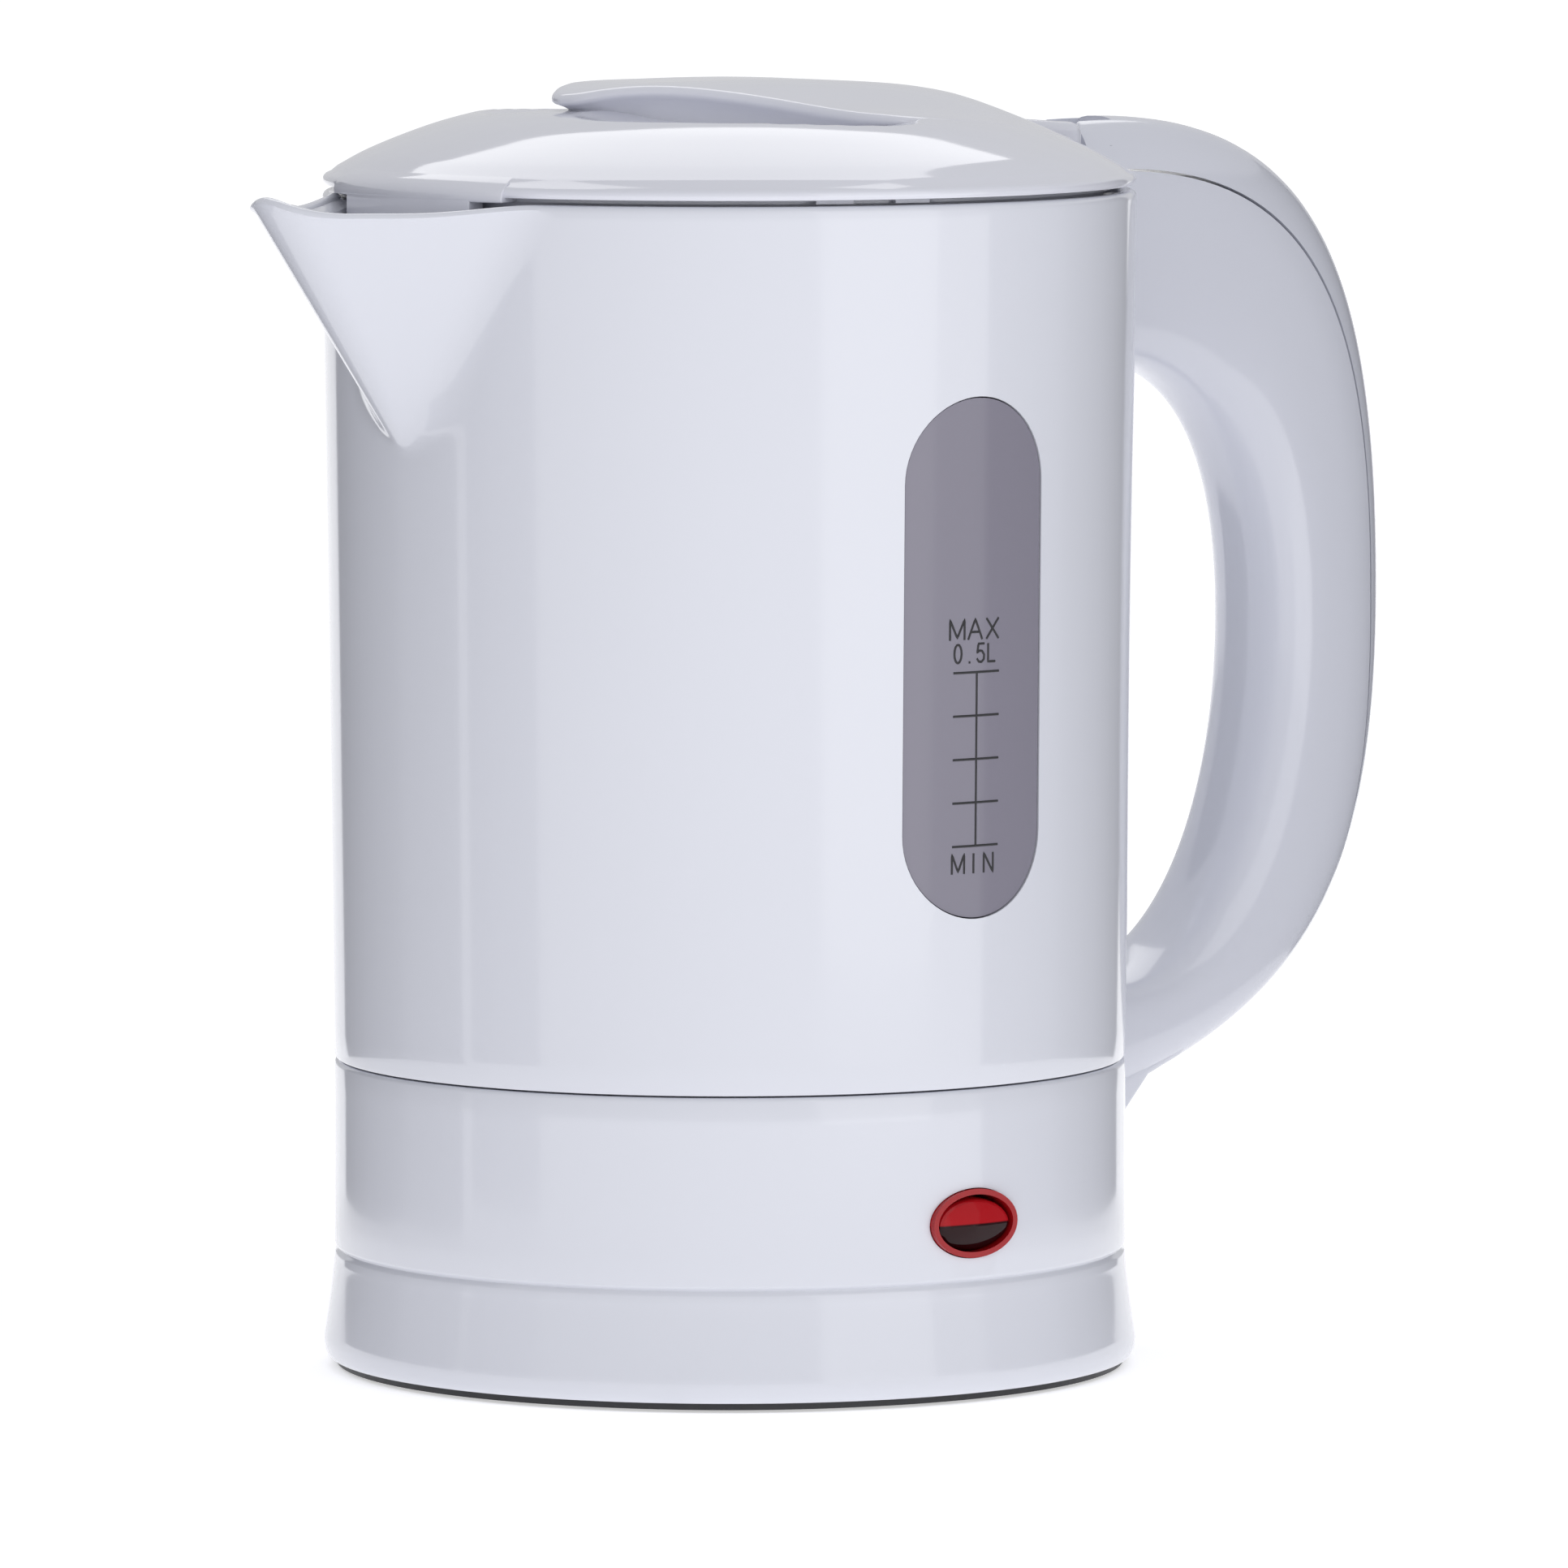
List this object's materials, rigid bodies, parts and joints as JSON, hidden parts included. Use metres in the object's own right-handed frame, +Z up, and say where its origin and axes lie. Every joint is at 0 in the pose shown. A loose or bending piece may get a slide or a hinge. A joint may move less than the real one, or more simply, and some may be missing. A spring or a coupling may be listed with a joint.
{
  "type": "electric kettle",
  "caption": "Small round electric kettle with a moulded spout, hinged lid with raised grip, loop handle, level window, rocker switch and a concealed heating plate.",
  "frame": {"origin": "on the jug's axis, at the level of the surface the kettle stands on", "axes": "+X towards the handle, -X towards the spout, -Y towards the level window and switch, +Z up"},
  "size_m": [0.1852, 0.109, 0.1723],
  "materials": {
    "white_plastic": "glossy moulded, faintly lavender white",
    "lid_plastic": "glossy moulded white",
    "handle_plastic": "glossy moulded white",
    "liner_plastic": "satin moulded white",
    "window_plastic": "smoky translucent grey",
    "black_plastic": "fine moulded texture",
    "foot_rubber": "matte black",
    "silicone": "translucent off-white silicone",
    "screw_steel": "zinc-plated",
    "pin_steel": "drawn stainless wire",
    "plate_steel": "spun stainless",
    "clamp_steel": "pressed sheet",
    "diffuser_aluminium": "pressed sheet",
    "element_steel": "heat-darkened sheath",
    "contact_brass": "stamped tabs",
    "inlet_steel": "plated pins",
    "thermostat_plastic": "moulded phenolic",
    "bimetal": "rolled bimetal",
    "fuse_sleeve": "woven glass-fibre sleeve",
    "switch_red": "translucent deep red",
    "rocker_red": "translucent bright red",
    "lamp_glass": "clear glass bulb",
    "wire_silicone": "silicone sleeve"
  },
  "bodies": {
    "kettle": {"jug_body": "white_plastic", "level_window": "window_plastic", "base_housing": "white_plastic", "bottom_cover": "black_plastic", "foot_ring": "foot_rubber", "cover_screws": "screw_steel", "lid_hinge_pin": "pin_steel", "handle_shell": "handle_plastic", "handle_cover": "handle_plastic", "handle_screws": "screw_steel", "heating_plate": "plate_steel", "plate_seal": "silicone", "clamp_ring": "clamp_steel", "clamp_screws": "screw_steel", "heat_diffuser": "diffuser_aluminium", "heating_element": "element_steel", "element_terminals": "contact_brass", "thermostat_body": "thermostat_plastic", "bimetal_disc": "bimetal", "thermostat_screws": "screw_steel", "thermal_fuse": "fuse_sleeve", "switch_body": "switch_red", "switch_terminals": "contact_brass", "neon_lamp": "lamp_glass", "inlet_body": "black_plastic", "inlet_pins": "inlet_steel", "wiring": "wire_silicone"},
    "lid": {"lid_shell": "lid_plastic", "lid_liner": "liner_plastic"},
    "rocker": {"switch_rocker": "rocker_red"}
  },
  "joints": [
    {"name": "lid_hinge", "type": "hinge", "parent": "kettle", "child": "lid", "pos_m": [0.0592, 0, 0.161], "axis": [0, 1, 0], "range_deg": [0, 78]},
    {"name": "switch_rock", "type": "hinge", "parent": "kettle", "child": "rocker", "pos_m": [0, -0.0495, 0.0237], "axis": [1, 0, 0], "range_deg": [-10, 0]}
  ]
}
